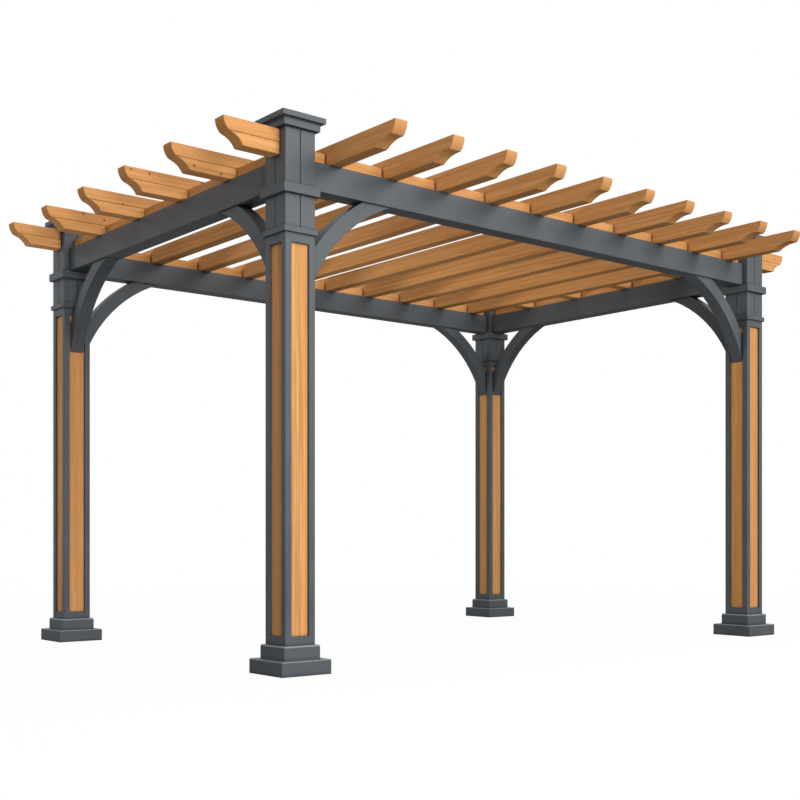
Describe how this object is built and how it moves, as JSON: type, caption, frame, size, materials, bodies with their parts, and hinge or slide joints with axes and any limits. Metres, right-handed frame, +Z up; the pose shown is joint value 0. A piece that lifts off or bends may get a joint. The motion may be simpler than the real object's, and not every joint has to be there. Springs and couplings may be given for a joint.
{
  "type": "wooden pergola",
  "caption": "Free-standing wooden pergola with panelled charcoal posts on stepped plinths, arched knee braces, butted beams and open cedar rafters with scroll-cut tails.",
  "frame": {"origin": "on the ground at the centre of the four posts", "axes": "+X along the long front beam to the right, +Y from front to back, +Z up"},
  "size_m": [4.29, 3.44, 2.558],
  "materials": {
    "charcoal_paint": "smooth timber in satin charcoal paint",
    "cedar": "planed cedar with a warm clear stain"
  },
  "bodies": {
    "root": {"front_left_post_base": "charcoal_paint", "front_right_post_base": "charcoal_paint", "back_left_post_base": "charcoal_paint", "back_right_post_base": "charcoal_paint", "front_left_post_shaft": "charcoal_paint", "front_right_post_shaft": "charcoal_paint", "back_left_post_shaft": "charcoal_paint", "back_right_post_shaft": "charcoal_paint", "front_left_post_panels": "cedar", "front_right_post_panels": "cedar", "back_left_post_panels": "cedar", "back_right_post_panels": "cedar", "front_left_post_collars": "charcoal_paint", "front_right_post_collars": "charcoal_paint", "back_left_post_collars": "charcoal_paint", "back_right_post_collars": "charcoal_paint", "front_left_post_cap": "charcoal_paint", "front_right_post_cap": "charcoal_paint", "back_left_post_cap": "charcoal_paint", "back_right_post_cap": "charcoal_paint", "front_left_braces": "charcoal_paint", "front_right_braces": "charcoal_paint", "back_left_braces": "charcoal_paint", "back_right_braces": "charcoal_paint", "front_beam": "charcoal_paint", "back_beam": "charcoal_paint", "left_beam": "charcoal_paint", "right_beam": "charcoal_paint", "rafter_1": "cedar", "rafter_2": "cedar", "rafter_3": "cedar", "rafter_4": "cedar", "rafter_5": "cedar", "rafter_6": "cedar", "rafter_7": "cedar", "rafter_8": "cedar", "rafter_9": "cedar", "rafter_10": "cedar", "left_tails": "cedar", "right_tails": "cedar", "front_corner_tails": "cedar", "back_corner_tails": "cedar", "front_blocking": "cedar", "back_blocking": "cedar", "left_blocking": "cedar", "right_blocking": "cedar"}
  },
  "joints": []
}
